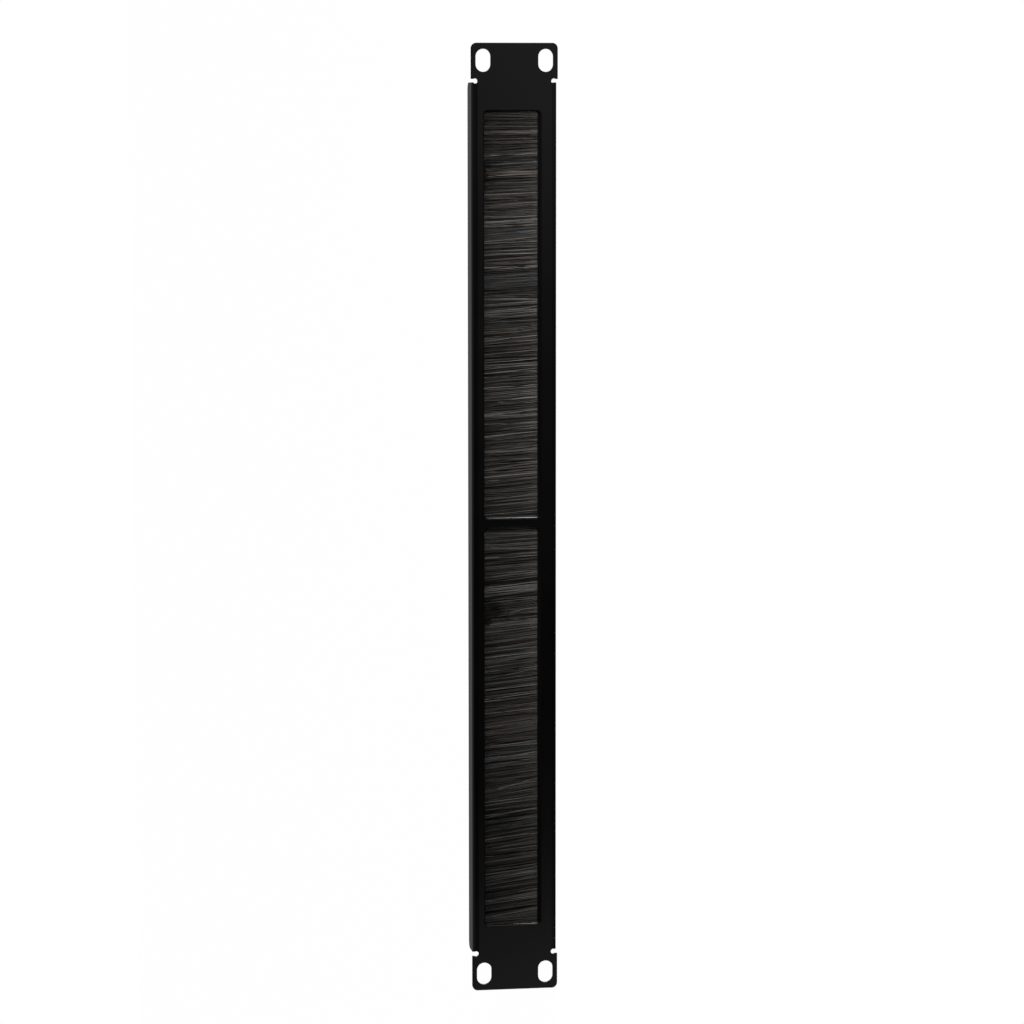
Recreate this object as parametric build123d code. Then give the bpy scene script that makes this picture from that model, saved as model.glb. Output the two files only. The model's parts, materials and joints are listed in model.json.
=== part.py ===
"""One-unit rack panel with two brush-filled cable windows.

A folded steel front carries two strip brushes. Each brush is a crimped steel channel that grips
bristles folded over a core wire. A folded retaining angle, screwed to the lower flange, hooks over
the channel and holds it in the corner of the fold.
"""
from build123d import *
import math
import os
import random

# Frame: X runs along the panel, Y from front to rear, Z up. The origin is the middle of the four
# rack slots, on the rear face of the ears, which lies against the rack rails.

# Rack standard
rack_unit = 44.45
panel_length = 482.6
slot_spacing_x = 465.1
slot_spacing_z = 31.75

# Folded front sheet
sheet = 1.5
unit_clearance = 0.45       # the ears are this much lower than one rack unit
fold_inset = 0.35           # the folds stand this far inside the ears' long edges
inner_bend = 1.5
fold_depth = 15.0           # front face to the flanges' rear edge
flange_corner = 3.5
flange_overhang = 0.5       # past their bends the flanges are this much longer, at each end
edge_rollover = 0.35        # the punch softens the front edges

# Ears, rack slots and bend reliefs
ear_corner = 2.8
slot_width = 7.6
slot_length = 11.4
slot_land = 3.55            # between a slot and its bend relief
relief_width = 2.2
relief_hole = 2.7           # the round end of a relief is a little wider than its slit

# Windows
window_margin = 33.85       # panel end to window
web_width = 4.56
window_top = 15.45
window_bottom = -13.3
window_corner = 2.0
window_rollover = 0.45

# Strip brush: crimped channel, core wire, bristles
strip_setback = 0.25        # each brush is this much shorter than its window, at each end
strip_gap = 0.15            # front sheet to channel
strip_width = 7.8
strip_height = 7.9
strip_wall = 0.7
strip_corner = 2.2
shoulder_height = 5.2       # the channel's sides lean in above this height
wire_radius = 0.9
wire_bed = 1.0              # bristles folded under the wire
bristle_clearance = 0.04
pack_thickness = 3.2        # bristles where the channel grips them
root_height = 0.6           # tightly packed roots above the channel's lips
tuft_pitch = 2.5
tuft_gap = 0.15             # between the tufts' roots
tuft_tip_width = 1.9
tuft_tip_thickness = 3.0
tuft_push = 0.4             # most that a tuft's tip stands out of line, to the front or rear
tip_height = 17.3           # the tips reach past the windows' upper edge, behind the sheet
tip_scatter = 0.5
lean_right_end = 1.0        # lean of the bristles in degrees, towards -X
lean_left_end = 7.0
fan_length = 24.0           # next to its +X end each brush stands straighter
worn_patches = [(176.0, 15.0, 1.8), (-45.0, 10.0, 2.4)]     # centre, half length, missing height

# Retaining angle and its screws
angle_sheet = 1.0
angle_bend = 0.6
angle_gap = 0.08            # channel to angle
angle_foot = 2.25           # screw to the foot's free edge
angle_setback = 1.5         # the angle is this much shorter than the channel, at each end
angle_hook = 2.0
screws_per_brush = 4
screw_radius = 1.25
screw_head_radius = 2.35
screw_length = 4.0
screw_end_distance = 22.0
screw_offset = 1.72         # the angle's upright to the screws' middle
screw_clearance = 0.1
thread_clearance = 0.02
recess_length = 2.3
recess_width = 0.5
recess_depth = 0.7

# Places worked out from the sizes above
ear_height = rack_unit - unit_clearance
front_y = -sheet
rear_y = front_y + fold_depth
body_half = ear_height / 2 - fold_inset
outer_bend = inner_bend + sheet
bend_line = body_half - outer_bend
ear_length = (panel_length - slot_spacing_x + slot_length) / 2 + slot_land
fold_end = panel_length / 2 - ear_length - relief_width
flange_floor = -(body_half - sheet)
window_outer = panel_length / 2 - window_margin
window_length = window_outer - web_width / 2
window_mid = (window_outer + web_width / 2) / 2
strip_length = window_length - 2 * strip_setback
strip_y = strip_gap + strip_width / 2
mouth_half = pack_thickness / 2
hook_angle = math.atan2(strip_width / 2 - mouth_half - strip_wall, strip_height - shoulder_height)
angle_y = strip_y + strip_width / 2 + angle_gap
screw_y = angle_y + angle_sheet + screw_offset
SIDES = {"left": -1, "right": 1}


def along_x(section, length, centre=0.0):
    """Extrude a section drawn in the YZ plane, half each way, about a place on X."""
    return Pos(centre, 0, 0) * extrude(section, amount=length / 2, both=True)


def through_y(face, depth, start):
    """Extrude a face drawn as (X, Z) from Y = start to Y = start + depth."""
    plane = Plane(origin=(0, start + depth, 0), x_dir=(1, 0, 0), z_dir=(0, -1, 0))
    return extrude(plane * face, amount=depth)


def folded_body():
    """The sheet between the ears: front, two bends and two flanges with rounded rear corners."""
    outer = Pos(front_y + fold_depth / 2, 0) * Rectangle(fold_depth, 2 * body_half)
    outer = fillet(outer.vertices().sort_by(Axis.X)[:2], outer_bend)
    inner_depth = fold_depth - sheet
    inner = Pos(inner_depth / 2, 0) * Rectangle(inner_depth, 2 * (body_half - sheet))
    inner = fillet(inner.vertices().sort_by(Axis.X)[:2], inner_bend)
    flange_end = fold_end + flange_overhang
    body = along_x(Plane.YZ * (outer - inner), 2 * flange_end)
    plan = Pos(0, front_y + fold_depth / 2) * Rectangle(2 * flange_end, fold_depth)
    plan = fillet(plan.vertices().sort_by(Axis.Y)[2:], flange_corner)
    bends = Pos(0, inner_bend - fold_depth / 2) * Rectangle(2 * fold_end, fold_depth)
    flanges = Pos(0, inner_bend + fold_depth / 2) * Rectangle(2 * flange_end, fold_depth)
    plan &= bends + flanges
    return body & extrude(plan, amount=body_half, both=True)


def ear(side):
    """One flat ear: rounded corners, softened front edges and two rack slots."""
    width = ear_length + relief_width
    centre = side * (fold_end + width / 2)
    face = Pos(centre, 0) * Rectangle(width, ear_height)
    face = fillet(face.vertices().sort_by(lambda v: side * v.X)[2:], ear_corner)
    plate = through_y(face, sheet, front_y)
    front = plate.faces().sort_by(Axis.Y)[0]
    outer_edges = front.edges().sort_by(lambda e: side * e.center().X)[1:]
    plate = chamfer(outer_edges, edge_rollover)
    for upper in (-1, 1):
        place = Pos(side * slot_spacing_x / 2, upper * slot_spacing_z / 2)
        slot = place * SlotOverall(slot_length, slot_width)
        plate -= through_y(slot, sheet, front_y)
    return plate


def reliefs():
    """The four bend reliefs: slits with a round end, cut before the sheet is folded."""
    slit_mid = fold_end + relief_width / 2
    hole_z = bend_line + relief_hole / 2
    slit_depth = ear_height / 2 - hole_z + sheet
    face = Sketch()
    for x in (-slit_mid, slit_mid):
        for upper in (-1, 1):
            face += Pos(x, upper * (hole_z + slit_depth / 2)) * Rectangle(relief_width, slit_depth)
            face += Pos(x, upper * hole_z) * Circle(relief_hole / 2)
    return through_y(face, sheet, front_y)


def window_face(side):
    mid_z = (window_top + window_bottom) / 2
    height = window_top - window_bottom
    return Pos(side * window_mid, mid_z) * RectangleRounded(window_length, height, window_corner)


def screw_places(side):
    """X of each retaining screw of one brush."""
    first = side * window_mid - strip_length / 2 + screw_end_distance
    step = (strip_length - 2 * screw_end_distance) / (screws_per_brush - 1)
    return [first + step * i for i in range(screws_per_brush)]


def window_edges(panel):
    """The edges of the windows on the front face."""
    found = []
    for edge in panel.edges():
        box = edge.bounding_box()
        on_front = max(abs(box.min.Y - front_y), abs(box.max.Y - front_y)) < 1e-4
        inside = max(abs(box.min.X), abs(box.max.X)) < fold_end - 1
        inside = inside and box.max.Z < bend_line - 1 and box.min.Z > -bend_line + 1
        if on_front and inside:
            found.append(edge)
    return found


def front_panel():
    panel = folded_body() + ear(-1) + ear(1)
    panel -= reliefs()
    windows = Sketch()
    for side in SIDES.values():
        windows += window_face(side)
    panel -= through_y(windows, sheet, front_y)
    panel = chamfer(window_edges(panel), window_rollover)
    hole = screw_solid(screw_clearance)
    for side in SIDES.values():
        for x in screw_places(side):
            panel -= Pos(x, screw_y, -body_half) * hole
    return panel


def strip_outline():
    """The channel's outer section as (Y, Z), about the middle of its base."""
    half = strip_width / 2
    lip_half = mouth_half + strip_wall
    points = [
        (-half, 0),
        (half, 0),
        (half, shoulder_height),
        (lip_half, strip_height),
        (-lip_half, strip_height),
        (-half, shoulder_height),
    ]
    outline = make_face(Polyline(*points, close=True))
    corners = outline.vertices().sort_by(Axis.Y)[:2]
    return fillet(corners, strip_corner)


def strip_place():
    return Plane.YZ * Pos(strip_y, flange_floor)


def strip_bore():
    """The hollow of the channel, closed at its lips."""
    return offset(strip_outline(), amount=-strip_wall, kind=Kind.INTERSECTION)


def brush_channel(side):
    mouth = Pos(0, strip_height) * Rectangle(2 * mouth_half, 4 * strip_wall)
    section = strip_outline() - strip_bore() - mouth
    return along_x(strip_place() * section, strip_length, side * window_mid)


def wire_centre():
    return strip_wall + wire_bed + wire_radius


def core_wire(side):
    section = Pos(0, wire_centre()) * Circle(wire_radius)
    return along_x(strip_place() * section, strip_length, side * window_mid)


def tip_drop(x):
    """How far the bristle tips end below their full height in the worn patches."""
    drop = 0.0
    for centre, half_length, depth in worn_patches:
        reach = abs(x - centre) / half_length
        if reach < 1:
            drop += depth * math.cos(reach * math.pi / 2) ** 2
    return drop


def tuft(x, lean, push, root_z, tip_z):
    """One flat bundle of bristles. It narrows, leans and stands out of line towards its tip."""
    shift = -math.tan(math.radians(lean)) * (tip_z - root_z)
    root_size = (tuft_pitch - tuft_gap, pack_thickness - 2 * bristle_clearance)
    root = Pos(x, strip_y, root_z) * Rectangle(*root_size)
    tip = Pos(x + shift, strip_y + push, tip_z) * Rectangle(tuft_tip_width, tuft_tip_thickness)
    return loft([root, tip], ruled=True)


def bristles(side):
    """The bristles of one brush: folded round the wire, gripped at the lips, parted into tufts."""
    folded = offset(strip_bore(), amount=-bristle_clearance, kind=Kind.INTERSECTION)
    neck_low = shoulder_height
    neck_high = strip_height + root_height
    neck_width = pack_thickness - 2 * bristle_clearance
    neck = Pos(0, (neck_low + neck_high) / 2) * Rectangle(neck_width, neck_high - neck_low)
    wire_hole = Pos(0, wire_centre()) * Circle(wire_radius + bristle_clearance)
    section = folded + neck - wire_hole
    pack = along_x(strip_place() * section, strip_length, side * window_mid)

    scatter = random.Random(7 + side)
    root_z = flange_floor + strip_height
    count = int(strip_length / tuft_pitch)
    first = side * window_mid - tuft_pitch * (count - 1) / 2
    tufts = []
    for i in range(count):
        x = first + tuft_pitch * i
        along = (window_outer - x) / (2 * window_outer)
        from_end = side * window_mid + strip_length / 2 - x
        lean = lean_right_end + (lean_left_end - lean_right_end) * along
        lean *= min(1, from_end / fan_length)
        tip_z = tip_height - tip_drop(x) - scatter.uniform(0, tip_scatter)
        push = scatter.uniform(-tuft_push, tuft_push)
        tufts.append(tuft(x, lean, push, root_z, tip_z))
    return pack + tufts


def retaining_angle(side):
    """A folded strip: a foot on the flange, an upright behind the channel and a hook over it."""
    mid = angle_sheet / 2
    foot_end = screw_y + angle_foot
    hook_foot = flange_floor + shoulder_height + mid * math.tan(hook_angle / 2)
    hook_y = angle_y + mid - angle_hook * math.sin(hook_angle)
    hook_z = hook_foot + angle_hook * math.cos(hook_angle)
    path = FilletPolyline(
        (foot_end, flange_floor + mid),
        (angle_y + mid, flange_floor + mid),
        (angle_y + mid, hook_foot),
        (hook_y, hook_z),
        radius=angle_bend + mid,
    )
    section = trace(path, line_width=angle_sheet)
    length = strip_length - 2 * angle_setback
    angle = along_x(Plane.YZ * section, length, side * window_mid)
    hole = Cylinder(screw_radius + thread_clearance, 4 * angle_sheet)
    for x in screw_places(side):
        angle -= Pos(x, screw_y, flange_floor) * hole
    return angle


def screw_solid(clearance=0.0):
    """A countersunk screw standing on the origin, its head flush with Z = 0."""
    radius = screw_radius + clearance
    head_radius = screw_head_radius + clearance
    head_height = screw_head_radius - screw_radius
    shank = Pos(0, 0, screw_length / 2) * Cylinder(radius, screw_length)
    head = Pos(0, 0, head_height / 2) * Cone(head_radius, radius, head_height)
    return shank + head


def retaining_screw(x):
    recess = Box(recess_length, recess_width, 2 * recess_depth)
    recess += Box(recess_width, recess_length, 2 * recess_depth)
    return Pos(x, screw_y, -body_half) * (screw_solid() - recess)


def all_parts():
    parts = {"front_panel": front_panel()}
    for name, side in SIDES.items():
        parts["brush_channel_" + name] = brush_channel(side)
        parts["core_wire_" + name] = core_wire(side)
        parts["bristles_" + name] = bristles(side)
        parts["retaining_angle_" + name] = retaining_angle(side)
        for number, x in enumerate(screw_places(side), start=1):
            parts[f"retaining_screw_{name}_{number}"] = retaining_screw(x)
    return parts


os.makedirs("parts", exist_ok=True)
for node, solid in all_parts().items():
    export_step(solid, f"parts/{node}.step")
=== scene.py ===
"""Looks of the rack brush panel: powder-coated sheet, blackened channels and loose nylon filaments."""

import json
import math

import bpy
import numpy as np
from mathutils import Matrix, Vector

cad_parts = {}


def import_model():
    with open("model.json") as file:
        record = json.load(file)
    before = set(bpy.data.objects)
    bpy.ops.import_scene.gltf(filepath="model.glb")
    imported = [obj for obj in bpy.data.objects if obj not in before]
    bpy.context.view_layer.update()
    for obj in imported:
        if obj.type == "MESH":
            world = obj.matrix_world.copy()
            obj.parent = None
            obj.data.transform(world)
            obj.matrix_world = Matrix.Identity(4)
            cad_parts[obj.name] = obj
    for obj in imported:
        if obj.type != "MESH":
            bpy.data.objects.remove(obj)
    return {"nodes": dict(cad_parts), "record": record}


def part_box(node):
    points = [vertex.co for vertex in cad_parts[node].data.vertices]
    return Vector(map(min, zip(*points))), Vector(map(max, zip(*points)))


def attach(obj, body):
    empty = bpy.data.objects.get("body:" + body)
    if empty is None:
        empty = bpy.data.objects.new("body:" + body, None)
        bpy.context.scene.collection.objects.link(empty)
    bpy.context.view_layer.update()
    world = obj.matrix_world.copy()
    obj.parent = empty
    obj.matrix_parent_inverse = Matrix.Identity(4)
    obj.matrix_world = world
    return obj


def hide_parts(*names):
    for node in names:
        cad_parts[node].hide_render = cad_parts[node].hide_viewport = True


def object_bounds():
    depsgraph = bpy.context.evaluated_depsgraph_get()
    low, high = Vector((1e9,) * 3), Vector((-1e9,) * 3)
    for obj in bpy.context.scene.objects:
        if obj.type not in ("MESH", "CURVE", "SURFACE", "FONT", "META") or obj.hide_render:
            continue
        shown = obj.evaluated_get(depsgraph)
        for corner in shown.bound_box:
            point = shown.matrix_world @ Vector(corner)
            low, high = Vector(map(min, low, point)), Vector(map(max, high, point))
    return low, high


MM = 0.001

# Camera, fitted to the photograph: the panel stands on one end there, so +X is up in the picture
CAMERA_DISTANCE = 1.875
CAMERA_PITCH = math.radians(6.36)
CAMERA_YAW = math.radians(8.89)
CAMERA_ROLL = math.radians(1.02)
FOCAL_PX = 3700
IMAGE_PX = 1024
SENSOR_MM = 36
AIM_RIGHT = 1.39 * MM
AIM_UP = -5.37 * MM
CLIP_NEAR = 0.1
CLIP_FAR = 50

# Studio that the coat mirrors: levels of light, as (component of the direction, level)
ROOM_ALONG = (                      # in front of the part, over X
    (-1.0, 0.04), (-0.38, 0.07), (-0.27, 0.42), (-0.24, 0.34), (-0.219, 0.24), (-0.206, 0.03),
    (-0.17, 0.004), (-0.109, 0.028), (-0.06, 0.08), (-0.032, 0.09), (-0.014, 0.25),
    (0.03, 0.34), (0.06, 0.15), (0.55, 0.10), (0.75, 0.8), (1.0, 0.8),
)
ROOM_ACROSS = (                     # multiplies the levels in front, over Z
    (-1.0, 0.6), (-0.4, 0.6), (-0.22, 1.2), (-0.18, 1.1), (-0.14, 0.7), (0.0, 0.2), (1.0, 0.4),
)
ROOM_BACK = ((-0.12, 0.02), (0.12, 0.15))   # behind the part, over Z
ROOM_TURN = (-0.25, 0.15)           # over Y, where the front ends and where the back is whole
AMBIENT = 0.24                      # even light that falls on everything

# Floor: it starts behind the front face, so that the lower bend doesn't mirror it
FLOOR_FRONT = 6 * MM
FLOOR_REACH = 4.0
FLOOR_TONE = 0.9
FLOOR_GLOW = 1.06
FLOOR_GLOW_SHARE = 0.92             # the rest takes the shadow

# Finishes: a ramp's stops are (level of the pattern, colour)
WHITE = (1, 1, 1)
BLACK = (0, 0, 0)
COAT_TONES = ((0.3, (0.0011, 0.0011, 0.0012)), (0.7, (0.0017, 0.0017, 0.0019)))
DUST_TONE = (0.012, 0.012, 0.013)
DUST_REACH = 0.018                  # of a speck, in cells of its pattern
GRAIN_RELIEF = 0.004 * MM
EDGE_RADIUS = 0.45 * MM
CHANNEL_TONES = ((0.3, (0.002, 0.002, 0.002)), (0.75, (0.005, 0.005, 0.0055)))
WIRE_TONES = ((0.3, (0.30, 0.30, 0.31)), (0.7, (0.48, 0.48, 0.49)))
SCREW_TONES = ((0.3, (0.012, 0.012, 0.013)), (0.7, (0.030, 0.030, 0.032)))
FINE_RELIEF = 0.02 * MM             # of the patterns on everything but the coat

# Brush: single filaments, in rows from the front of the brush to its back
SEEDS = {"left": 11, "right": 12}
ROWS = 9
FILAMENTS_PER_ROW = 675
STAGGER = 0.5                       # shift of every second row, in filaments
LEAST_JITTER = 0.3                  # random shift of a tight filament; a loose one shifts by up to 1
FILAMENT_RADIUS = 0.15 * MM
BACK_THICKER = 0.3                  # share by which the last row's filaments are thicker
TIP_TAPER = 0.85
FILAMENT_STEPS = 5
SIDES = 3
SIDE_TURN = math.radians(30)        # so that an edge of each tube faces the front
ROOT_THICKNESS = 2.75 * MM          # from the first row to the last
THICKENING = 0.1                    # share by which the brush is thicker at its tips
ROOT_SINK = 2.0 * MM                # how far the roots reach into the channel

# Tips: they end lower in the worn patches, given as middle, half length and depth
TIP_Z = 17.1 * MM
TIP_SPREAD = 0.35 * MM
WORN_PATCHES = ((176 * MM, 15 * MM, 4.5 * MM), (-45 * MM, 11 * MM, 12 * MM))
WORN_SPREAD = 0.2                   # spread that is added there, as a share of how low the tips end
WORN_ROWS = 0.7                     # share of the rows that are worn, from the front

# Lean towards -X: it grows over the panel, and builds up over the fan from each brush's +X end
LEAN_RIGHT_END = math.radians(1.0)
LEAN_LEFT_END = math.radians(7.0)
FAN_LENGTH = 24 * MM
END_SPLAY = math.radians(-2.5)      # at the +X end, where it fades over the splay's length
SPLAY_LENGTH = FAN_LENGTH / 4
END_LEAN = math.radians(0.3)        # at the -X end, among the last bristles

# The last bristles press past the channel's ends, by so much at its -X end and at its +X end
LAST_BRISTLES = 5 * MM
END_BULGE = {"left": (0.69 * MM, 0.3 * MM), "right": (0.38 * MM, 0.3 * MM)}

# Looseness: 1 in the front rows and 0 behind the middle one, and less at the -X end
LOOSE_FRONT = 1.3
LOOSE_FALL = 2.4
LEAST_LOOSE = 0.08
LOOSE_LEAN = 2                      # a loose filament's own lean varies by this share more
STRAY_SHARE = 0.03

# Groups: loose filaments gather in clumps and in finer bundles
CLUMP_PITCH = 2.15 * MM
CLUMP_SHIFT = 0.8                   # pitches by which groups move on, from the first row to the last
CLUMP_BLUR = 0.12                   # spread of the borders between groups, in pitches
CLUMP_GATHER = (0.1, 0.5)           # least and most share of the way to the middle, at the tips
CLUMP_CURVE = 1.5                   # power by which a clump gathers along its length
BUNDLE_PITCH = 0.52 * MM
BUNDLE_SHIFT = 2.08
BUNDLE_BLUR = 0.05
BUNDLE_GATHER = 0.55
BUNDLE_HOLD = 2                     # bundles stay gathered down to 1 / 2 of full looseness
BUNDLE_CLOSE = 3                    # and are gathered from 1 / 3 of their length on

# Standard deviations of the lean, of the bow along X and of the way out of line along Y
CLUMP_LEAN = math.radians(0.7)
BUNDLE_LEAN = math.radians(1.1)
FILAMENT_LEAN = math.radians(0.12)
STRAY_LEAN = math.radians(4.0)
BUNDLE_BOW = 0.22 * MM
FILAMENT_BOW = 0.08 * MM
CLUMP_OUT = 0.35 * MM
BUNDLE_OUT = 0.30 * MM
FILAMENT_OUT = 0.08 * MM
OUT_CURVE = 1.2                     # power by which a filament goes out of line along its length

# Tints: a middle tone, and standard deviations of the logarithms of its factors
# the colour attribute carries the filaments' own tones together with their painted shade and painted light
TINT_AND_PAINTED_LIGHT = "tint_and_painted_light"
TONE = 0.037
TONE_LIMITS = (0.002, 0.20)
CLUMP_TONES = 0.15
BUNDLE_TONES = 0.52
FILAMENT_TONES = 0.48

# Painted shade: factors along a filament, which fall towards its tip, and over the rows, which fall to the
# back
ROOT_TONE = 1.26
TIP_PAINTED_SHADE = 0.55
ROOT_PAINTED_LIGHT = 0.7                    # painted light added at the very root, against the shade that the window's edge casts there
ROOT_PAINTED_LIGHT_REACH = 0.1              # share of the length over which that painted light fades
STEP_TONES = 0.10
FRONT_ROW_TONE = 1.1
ROW_PAINTED_SHADE = 0.93
LAST_ROW_TONE = 0.9                 # the last row shows from behind, so it takes none of that painted shade

# Warmth: the share by which red is stronger and blue is weaker, and its standard deviations
WARMTH = 0.06
BUNDLE_WARMTHS = 0.04
FILAMENT_WARMTHS = 0.03


def new_object(name, data):
    """An object that shows in the scene."""
    item = bpy.data.objects.new(name, data)
    bpy.context.scene.collection.objects.link(item)
    return item


def new_material(name):
    """A material, its node tree and its shader."""
    material = bpy.data.materials.new(name)
    material.use_nodes = True
    tree = material.node_tree
    return material, tree, tree.nodes["Principled BSDF"]


def fill(tree, node, inputs):
    """Puts plain values or other nodes' outputs into a node's inputs."""
    for name, value in inputs.items():
        if isinstance(value, bpy.types.NodeSocket):
            tree.links.new(value, node.inputs[name])
        else:
            node.inputs[name].default_value = value
    return node


def add(tree, kind, inputs):
    """A new node with its inputs filled."""
    return fill(tree, tree.nodes.new("ShaderNode" + kind), inputs)


def object_space(tree, scale):
    """Object coordinates, with a scale for each axis."""
    coordinates = add(tree, "TexCoord", {}).outputs["Object"]
    return add(tree, "Mapping", {"Vector": coordinates, "Scale": scale}).outputs["Vector"]


def noise(tree, vector, scale, detail):
    """Soft noise over a vector, as levels from 0 to 1."""
    return add(tree, "TexNoise", {"Vector": vector, "Scale": scale, "Detail": detail}).outputs["Fac"]


def ramp(tree, value, stops):
    """A colour ramp with stops given as (position, colour)."""
    node = add(tree, "ValToRGB", {"Fac": value})
    elements = node.color_ramp.elements
    while len(elements) < len(stops):
        elements.new(0.5)
    for element, (position, colour) in zip(elements, stops):
        element.position = position
        element.color = (*colour, 1)
    return node.outputs["Color"]


def map_range(tree, value, low, high, start=0, end=1):
    """Goes from low to high while the value goes from start to end, and stays level beyond them."""
    node = add(tree, "MapRange", {"Value": value, "From Min": start, "From Max": end,
                                  "To Min": low, "To Max": high})
    return node.outputs["Result"]


def combine(tree, operation, first, second):
    """The result of a maths operation on two outputs."""
    node = add(tree, "Math", {0: first, 1: second})
    node.operation = operation
    return node.outputs["Value"]


def bump(tree, height, strength, distance, edge=None):
    """Relief from a height. With edge, sharp edges are also shaded as if rounded to that radius."""
    relief = {"Height": height, "Strength": strength, "Distance": distance}
    if edge:
        relief["Normal"] = add(tree, "Bevel", {"Radius": edge}).outputs["Normal"]
    return add(tree, "Bump", relief).outputs["Normal"]


def patterned(name, scale, detail, roughness, strength):
    """A material whose roughness and relief follow one pattern, with its tree, shader and pattern."""
    material, tree, shader = new_material(name)
    pattern = noise(tree, object_space(tree, scale), 1, detail)
    fill(tree, shader, {
        "Roughness": map_range(tree, pattern, *roughness),
        "Normal": bump(tree, pattern, strength, FINE_RELIEF),
    })
    return material, tree, shader, pattern


def powder_coat():
    """Satin black powder coat: fine grain, slight cloudiness and a few specks of dust."""
    material, tree, shader = new_material("powder_coat")
    space = object_space(tree, (1, 1, 1))
    cloud = noise(tree, space, scale=35, detail=2)
    grain = noise(tree, space, scale=2600, detail=2)
    coat = ramp(tree, cloud, COAT_TONES)
    specks = add(tree, "TexVoronoi", {"Vector": space, "Scale": 85}).outputs["Distance"]
    dust = ramp(tree, specks, [(0, WHITE), (DUST_REACH, BLACK)])
    dusty = tree.nodes.new("ShaderNodeMix")
    dusty.data_type = "RGBA"
    fill(tree, dusty, {"Factor": dust, "A": coat, "B": (*DUST_TONE, 1)})
    fill(tree, shader, {
        "Base Color": dusty.outputs["Result"],
        "Roughness": map_range(tree, cloud, 0.09, 0.13),
        "Normal": bump(tree, grain, strength=0.35, distance=GRAIN_RELIEF, edge=EDGE_RADIUS),
    })
    return material


def black_channel():
    """Thin black coat on rolled steel, with faint drawing marks along its length."""
    material, tree, shader, marks = patterned(
        "black_channel", scale=(12, 1500, 1500), detail=3, roughness=(0.38, 0.55), strength=0.15)
    fill(tree, shader, {"Base Color": ramp(tree, marks, CHANNEL_TONES), "Specular IOR Level": 0.12})
    return material


def wire_steel():
    """Drawn galvanised wire."""
    material, tree, shader, marks = patterned(
        "wire_steel", scale=(30, 3000, 3000), detail=2, roughness=(0.3, 0.5), strength=0.2)
    fill(tree, shader, {"Base Color": ramp(tree, marks, WIRE_TONES), "Metallic": 1})
    return material


def screw_steel():
    """Black zinc on the countersunk screws."""
    material, tree, shader, patches = patterned(
        "screw_steel", scale=(900, 900, 900), detail=2, roughness=(0.28, 0.42), strength=0.1)
    fill(tree, shader, {"Base Color": ramp(tree, patches, SCREW_TONES), "Metallic": 0.7})
    return material


def nylon():
    """Black nylon filaments: each has its own colour, which also carries painted shade and painted light,
    and all have the sheen of drawn plastic.
    """
    material, tree, shader, _ = patterned(
        "bristle", scale=(220, 220, 220), detail=2, roughness=(0.34, 0.50), strength=0.1)
    tint_and_painted_light = tree.nodes.new("ShaderNodeAttribute")
    tint_and_painted_light.attribute_name = TINT_AND_PAINTED_LIGHT
    fill(tree, shader, {"Base Color": tint_and_painted_light.outputs["Color"], "Specular IOR Level": 0.15})
    return material


def fade(distance, reach):
    """1 at no distance, and evenly down to 0 at the reach and beyond."""
    return np.clip(1 - distance / reach, 0, 1)


def tip_drop(x):
    """How far tips end below their full height in the worn patches."""
    drop = np.zeros_like(x)
    for centre, half_length, depth in WORN_PATCHES:
        reach = np.clip(np.abs(x - centre) / half_length, 0, 1)
        drop += depth * np.cos(reach * math.pi / 2) ** 2
    return drop


def root_places(rng, low, high, bulge):
    """Where each filament stands: x, share of the way back, freedom from the -X end, and looseness."""
    pitch = (high.x - low.x) / FILAMENTS_PER_ROW
    rows = np.repeat(np.arange(ROWS), FILAMENTS_PER_ROW)
    step = np.tile(np.arange(FILAMENTS_PER_ROW), ROWS)
    back = rows / (ROWS - 1)
    free = np.clip(step * pitch / LAST_BRISTLES, 0, 1)
    loose = np.clip(LOOSE_FRONT - LOOSE_FALL * back, 0, 1) * np.clip(free, LEAST_LOOSE, 1)
    jitter = rng.random(len(rows)) * (LEAST_JITTER + (1 - LEAST_JITTER) * loose)
    x = low.x + (step + STAGGER * (rows % 2) + jitter) * pitch
    x = x - bulge[0] * fade(x - low.x, LAST_BRISTLES)
    x = x + bulge[1] * fade(high.x - x, LAST_BRISTLES)
    return x, back, free, loose


def groups(rng, x, low_x, pitch, shift, blur):
    """The group each filament belongs to, for groups of about one pitch, and each group's middle."""
    group = np.floor((x - low_x) / pitch + shift + rng.normal(0, blur, len(x))).astype(int)
    group -= group.min()
    members = np.bincount(group)
    middle = np.bincount(group, weights=x) / np.maximum(members, 1)
    return group, middle


def leans(rng, x, end_x, whole, free, loose, group_lean):
    """Each filament's lean towards -X."""
    count = len(x)
    across = (whole[1].x - x) / (whole[1].x - whole[0].x)
    from_end = end_x - x
    lean = LEAN_RIGHT_END + (LEAN_LEFT_END - LEAN_RIGHT_END) * across
    lean = lean * np.clip(from_end / FAN_LENGTH, 0, 1)
    lean = END_LEAN + (lean - END_LEAN) * free
    lean = lean + END_SPLAY * fade(from_end, SPLAY_LENGTH) + group_lean * loose
    lean = lean + rng.normal(0, FILAMENT_LEAN, count) * (1 + LOOSE_LEAN * loose)
    stray = rng.random(count) < STRAY_SHARE * loose
    return np.where(stray, lean + rng.normal(0, STRAY_LEAN, count), lean)


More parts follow.
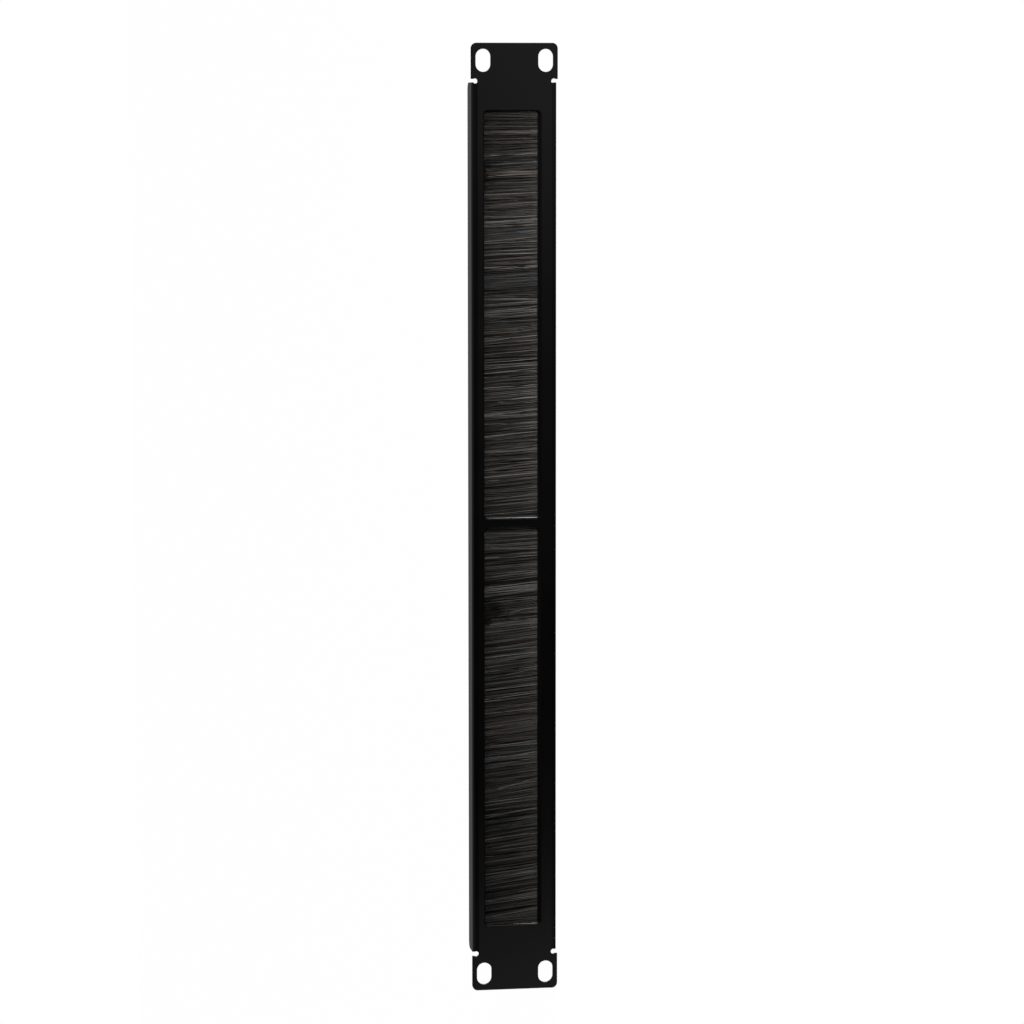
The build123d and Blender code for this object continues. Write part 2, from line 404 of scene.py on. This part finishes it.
def filament_paths(rng, low, high, whole, bulge):
    """Centre points of a brush's filaments as (filament, step, xyz), and their rows, clumps and bundles."""
    x, back, free, loose = root_places(rng, low, high, bulge)
    count = len(x)
    clump, clump_x = groups(rng, x, low.x, CLUMP_PITCH, CLUMP_SHIFT * back, CLUMP_BLUR)
    bundle, bundle_x = groups(rng, x, low.x, BUNDLE_PITCH, BUNDLE_SHIFT * back, BUNDLE_BLUR)
    clumps, bundles = len(clump_x), len(bundle_x)
    group_lean = rng.normal(0, CLUMP_LEAN, clumps)[clump] + rng.normal(0, BUNDLE_LEAN, bundles)[bundle]
    bundle_bow = rng.normal(0, BUNDLE_BOW, bundles)[bundle]
    group_out = rng.normal(0, CLUMP_OUT, clumps)[clump] + rng.normal(0, BUNDLE_OUT, bundles)[bundle]
    clump_gather = rng.uniform(*CLUMP_GATHER, clumps)[clump]
    lean = leans(rng, x, high.x, whole, free, loose, group_lean)

    drop = tip_drop(x) * (back < WORN_ROWS)
    tip_z = TIP_Z - drop + rng.normal(0, TIP_SPREAD + WORN_SPREAD * drop, count)
    start = high.z - ROOT_SINK
    t = np.linspace(0, 1, FILAMENT_STEPS + 1)[None, :]
    z = start + (tip_z - start)[:, None] * t

    clump_pull = (clump_x[clump] - x) * clump_gather * loose
    bundle_pull = (bundle_x[bundle] - x) * BUNDLE_GATHER * np.clip(BUNDLE_HOLD * loose, 0, 1)
    bow = bundle_bow * loose + rng.normal(0, FILAMENT_BOW, count)
    path_x = x[:, None] - np.tan(lean)[:, None] * np.maximum(z - high.z, 0)
    path_x = path_x + clump_pull[:, None] * t ** CLUMP_CURVE
    path_x = path_x + bundle_pull[:, None] * np.minimum(BUNDLE_CLOSE * t, 1)
    path_x = path_x + bow[:, None] * np.sin(math.pi * t)

    spread = (back - 0.5) * ROOT_THICKNESS
    out = group_out * loose + rng.normal(0, FILAMENT_OUT, count)
    path_y = (low.y + high.y) / 2 + spread[:, None] * (1 + THICKENING * t) + out[:, None] * t ** OUT_CURVE
    return np.stack([path_x, path_y, z], axis=2), back, clump, bundle


def filament_colours(rng, back, clump, bundle):
    """Tints as (filament, step, rgb): nearly black, different from one bundle to the next, with painted
    shade towards the tips and the back rows and painted light at the roots.
    """
    count, clumps, bundles = len(clump), clump.max() + 1, bundle.max() + 1
    clump_tone = rng.normal(0, CLUMP_TONES, clumps)[clump]
    bundle_tone = rng.normal(0, BUNDLE_TONES, bundles)[bundle]
    tone = TONE * np.exp(clump_tone + bundle_tone + rng.normal(0, FILAMENT_TONES, count))
    t = np.linspace(0, 1, FILAMENT_STEPS + 1)[None, :]
    # painted shade towards the tip and painted light at the root, with random steps of tone along each
    # filament
    along = ROOT_TONE - TIP_PAINTED_SHADE * t + ROOT_PAINTED_LIGHT * np.exp(-t / ROOT_PAINTED_LIGHT_REACH)
    along = along + rng.normal(0, STEP_TONES, (count, FILAMENT_STEPS + 1))
    # painted shade that deepens towards the back rows, all but the last
    depth = np.where(back < 1, FRONT_ROW_TONE - ROW_PAINTED_SHADE * back, LAST_ROW_TONE)
    tone = np.clip((tone * depth)[:, None] * along, *TONE_LIMITS)
    warm = rng.normal(WARMTH, BUNDLE_WARMTHS, bundles)[bundle] + rng.normal(0, FILAMENT_WARMTHS, count)
    warm = warm[:, None]
    return np.stack([tone * (1 + warm), tone, tone * (1 - warm)], axis=2)


def filament_mesh(name, paths, radii, colours):
    """Slim three-sided tubes along every path, closed at both ends."""
    count, rings, _ = paths.shape
    sides = np.arange(SIDES)
    angles = sides * 2 * math.pi / SIDES + SIDE_TURN
    ring = np.stack([np.cos(angles), np.sin(angles), np.zeros(SIDES)], axis=1)
    taper = np.ones(rings)
    taper[-1] = TIP_TAPER
    scale = radii[:, None] * taper[None, :]
    points = paths[:, :, None, :] + ring[None, None] * scale[:, :, None, None]
    first = (np.arange(count) * rings * SIDES)[:, None]
    last = first + (rings - 1) * SIDES
    walls = []
    for level in range(rings - 1):
        for side in sides:
            a = first + level * SIDES + side
            b = first + level * SIDES + (side + 1) % SIDES
            walls.append(np.hstack([a, b, b + SIDES, a + SIDES]))
    caps = [first + sides[::-1], last + sides]
    faces = np.concatenate(walls).tolist() + np.concatenate(caps).tolist()
    mesh = bpy.data.meshes.new(name)
    mesh.from_pydata(points.reshape(-1, 3).tolist(), [], faces)
    mesh.shade_smooth()
    layer = mesh.color_attributes.new(TINT_AND_PAINTED_LIGHT, "FLOAT_COLOR", "POINT")
    tints_and_painted_light = np.repeat(colours.reshape(-1, 3), SIDES, axis=0)
    layer.data.foreach_set("color", np.hstack([tints_and_painted_light, np.ones((len(tints_and_painted_light), 1))]).ravel())
    return mesh


def brush(side, whole, material):
    """The loose filaments of one brush, in the place of its solid."""
    rng = np.random.default_rng(SEEDS[side])
    low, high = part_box("brush_channel_" + side)
    paths, back, clump, bundle = filament_paths(rng, low, high, whole, END_BULGE[side])
    colours = filament_colours(rng, back, clump, bundle)
    radii = FILAMENT_RADIUS * (1 + BACK_THICKER * back)
    mesh = filament_mesh("filaments_" + side, paths, radii, colours)
    mesh.materials.append(material)
    piece = new_object("filaments_" + side, mesh)
    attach(piece, "root")
    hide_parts("bristles_" + side)


def any_ray(tree, *kinds):
    """1 for the rays of these kinds and 0 for all others."""
    path = add(tree, "LightPath", {})
    total = path.outputs[kinds[0]]
    for kind in kinds[1:]:
        total = combine(tree, "MAXIMUM", total, path.outputs[kind])
    return total


def profile(tree, value, stops):
    """Levels over a direction's component, from -1 to 1."""
    grey = [((place + 1) / 2, (level, level, level)) for place, level in stops]
    return ramp(tree, map_range(tree, value, 0, 1, start=-1, end=1), grey)


def world():
    """A white backdrop, an even light on everything, and the studio that the coat's gloss mirrors."""
    studio = bpy.data.worlds.new("studio")
    studio.use_nodes = True
    bpy.context.scene.world = studio
    tree = studio.node_tree
    direction = add(tree, "TexCoord", {}).outputs["Generated"]
    axes = add(tree, "SeparateXYZ", {"Vector": direction})
    along = profile(tree, axes.outputs["X"], ROOM_ALONG)
    across = profile(tree, axes.outputs["Z"], ROOM_ACROSS)
    front = combine(tree, "MULTIPLY", along, across)
    (start, low), (end, high) = ROOM_BACK
    back = map_range(tree, axes.outputs["Z"], low, high, start, end)
    turn = map_range(tree, axes.outputs["Y"], 0, 1, *ROOM_TURN)
    room = add(tree, "Mix", {"Factor": turn, "A": front, "B": back}).outputs["Result"]
    mirrored = any_ray(tree, "Is Glossy Ray")
    level = add(tree, "Mix", {"Factor": mirrored, "A": AMBIENT, "B": room}).outputs["Result"]
    seen = any_ray(tree, "Is Camera Ray", "Is Transmission Ray")
    strength = combine(tree, "MAXIMUM", level, seen)
    fill(tree, tree.nodes["Background"], {"Color": (*WHITE, 1), "Strength": strength})


def floor(height):
    """A pale floor that reads white and still takes a soft shadow."""
    mesh = bpy.data.meshes.new("floor")
    outline = [(-FLOOR_REACH, FLOOR_FRONT), (FLOOR_REACH, FLOOR_FRONT),
               (FLOOR_REACH, FLOOR_REACH), (-FLOOR_REACH, FLOOR_REACH)]
    mesh.from_pydata([(x, y, height) for x, y in outline], [], [(0, 1, 2, 3)])
    material, tree, shader = new_material("floor")
    fill(tree, shader, {
        "Base Color": (FLOOR_TONE, FLOOR_TONE, FLOOR_TONE, 1),
        "Roughness": 0.9,
        "Specular IOR Level": 0,
    })
    seen = any_ray(tree, "Is Camera Ray", "Is Glossy Ray", "Is Transmission Ray")
    share = map_range(tree, seen, 0, FLOOR_GLOW_SHARE)
    glow = add(tree, "Emission", {"Strength": FLOOR_GLOW}).outputs["Emission"]
    mix = add(tree, "MixShader", {"Fac": share, 1: shader.outputs["BSDF"], 2: glow})
    tree.links.new(mix.outputs["Shader"], tree.nodes["Material Output"].inputs["Surface"])
    mesh.materials.append(material)
    new_object("floor", mesh)


def area_light(name, place, target, size, power, spread):
    """A square lamp that faces its target and leaves no mirror image of itself."""
    data = bpy.data.lights.new(name, "AREA")
    data.shape = "SQUARE"
    data.size = size
    data.energy = power
    data.spread = math.radians(spread)
    lamp = new_object(name, data)
    lamp.location = place
    lamp.visible_glossy = False
    lamp.rotation_mode = "QUATERNION"
    lamp.rotation_quaternion = (Vector(target) - Vector(place)).to_track_quat("-Z", "Y")


def camera(front_y):
    """The fitted camera: its axes start as right = -Z, up = +X, back = -Y, then turn."""
    turn = Matrix.Rotation(CAMERA_ROLL, 3, "Z") @ Matrix.Rotation(CAMERA_YAW, 3, "Y")
    turn = turn @ Matrix.Rotation(CAMERA_PITCH, 3, "X")
    base = Matrix(((0, 0, -1), (1, 0, 0), (0, -1, 0)))
    to_world = (turn @ base).transposed()
    data = bpy.data.cameras.new("camera")
    data.sensor_width = SENSOR_MM
    data.lens = SENSOR_MM * FOCAL_PX / IMAGE_PX
    data.clip_start, data.clip_end = CLIP_NEAR, CLIP_FAR
    view = new_object("camera", data)
    place = to_world @ Vector((-AIM_RIGHT, -AIM_UP, CAMERA_DISTANCE)) + Vector((0, front_y, 0))
    view.matrix_world = Matrix.Translation(place) @ to_world.to_4x4()
    bpy.context.scene.camera = view


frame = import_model()
cad_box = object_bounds()
bpy.context.scene.view_settings.view_transform = "Standard"
camera(cad_box[0].y)

finishes = {
    "powder_coat": powder_coat(),
    "black_channel": black_channel(),
    "wire_steel": wire_steel(),
    "screw_steel": screw_steel(),
    "bristle": nylon(),
}
for subpart in frame["record"]["subparts"]:
    solid = frame["nodes"][subpart["node"]].data
    solid.materials.clear()
    solid.materials.append(finishes[subpart["material_slot"]])

for side in SEEDS:
    brush(side, cad_box, finishes["bristle"])

world()
floor(cad_box[0].z)
area_light("key", place=(0.40, -0.72, 0.08), target=(0.20, 0, 0), size=0.2, power=1.85, spread=90)
area_light("overhead", place=(0.95, -0.55, 0.05), target=(0, 0, 0), size=0.4, power=0.8, spread=180)
